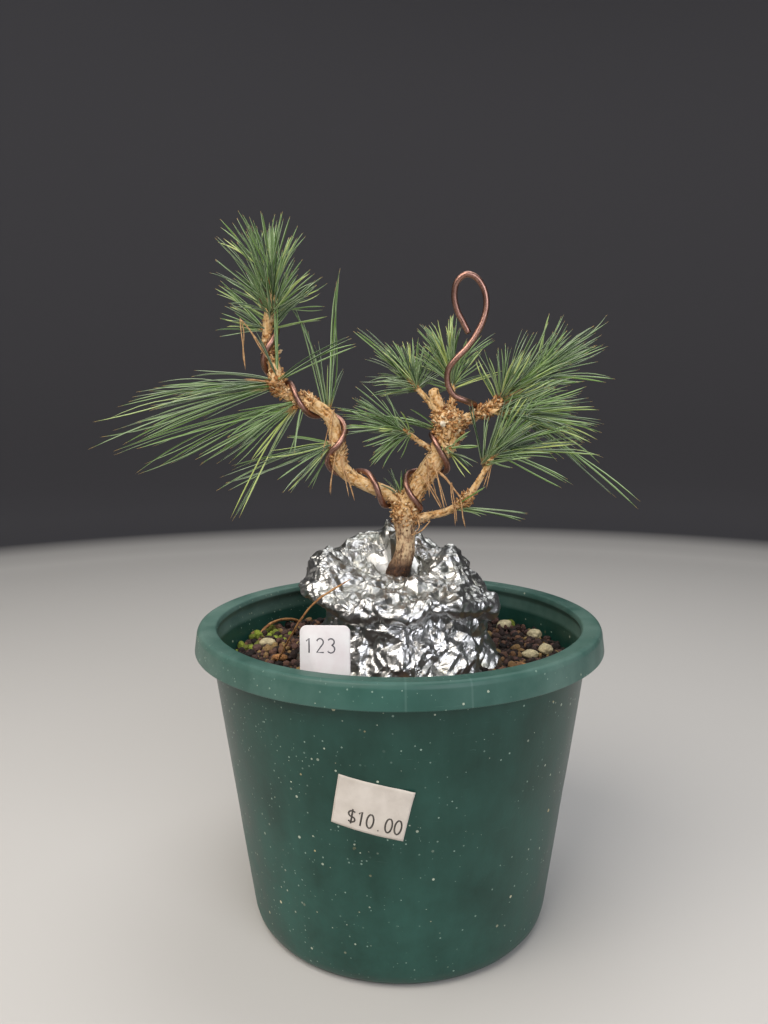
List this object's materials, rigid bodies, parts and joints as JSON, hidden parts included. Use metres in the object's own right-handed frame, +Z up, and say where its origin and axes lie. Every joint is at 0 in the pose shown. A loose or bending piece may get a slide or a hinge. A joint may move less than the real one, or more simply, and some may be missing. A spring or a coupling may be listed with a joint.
{
  "type": "bonsai tree in a pot",
  "caption": "Young wired pine in training in a squat plastic nursery pot, with crumpled foil round the trunk's foot, a training wire, a plant tag and tufts of long needles.",
  "frame": {"origin": "centre of the pot's flat bottom, on the surface that it stands on", "axes": "+Z up along the pot's axis, -Y towards the tree's front, where the label and the tag are, +X to the right seen from the front"},
  "size_m": [0.2677, 0.2046, 0.3497],
  "materials": {
    "pot": "semi-gloss, dusty, with fine pale specks",
    "paper": "matt printed sticker",
    "tag": "satin, with a pencilled number",
    "soil": "loose dark granules",
    "moss": "mossy soil",
    "foil": "bright crumpled foil",
    "bark": "flaky tan bark",
    "wire": "brown anodised, satin",
    "needle": "waxy green with pale stripes",
    "stone": "rough, pale tan",
    "straw": "dry and brown"
  },
  "bodies": {
    "root": {"nursery_pot": "pot", "price_label": "paper", "plant_tag": "tag", "potting_mix": "soil", "root_mound": "moss", "foil_wrap": "foil", "trunk_and_branches": "bark", "training_wire": "wire", "bark_chip": "straw", "apex_tuft": "needle", "apex_left_tuft": "needle", "apex_right_tuft": "needle", "knuckle_tuft": "needle", "long_spray": "needle", "low_spray": "needle", "upright_needles": "needle", "under_branch_tuft": "needle", "cross_needles": "needle", "back_tuft": "needle", "top_tuft": "needle", "right_end_tuft": "needle", "right_middle_tuft": "needle", "right_low_spray": "needle", "lower_end_tuft": "needle", "lower_needles": "needle", "left_twig_tuft": "needle", "fork_tuft": "needle", "front_tuft": "needle", "pebble_1": "stone", "pebble_2": "stone", "pebble_3": "stone", "pebble_4": "stone", "pebble_5": "stone", "pebble_6": "stone", "fallen_twig_left": "straw", "fallen_twig_right": "straw", "leaning_needle": "straw"}
  },
  "joints": []
}
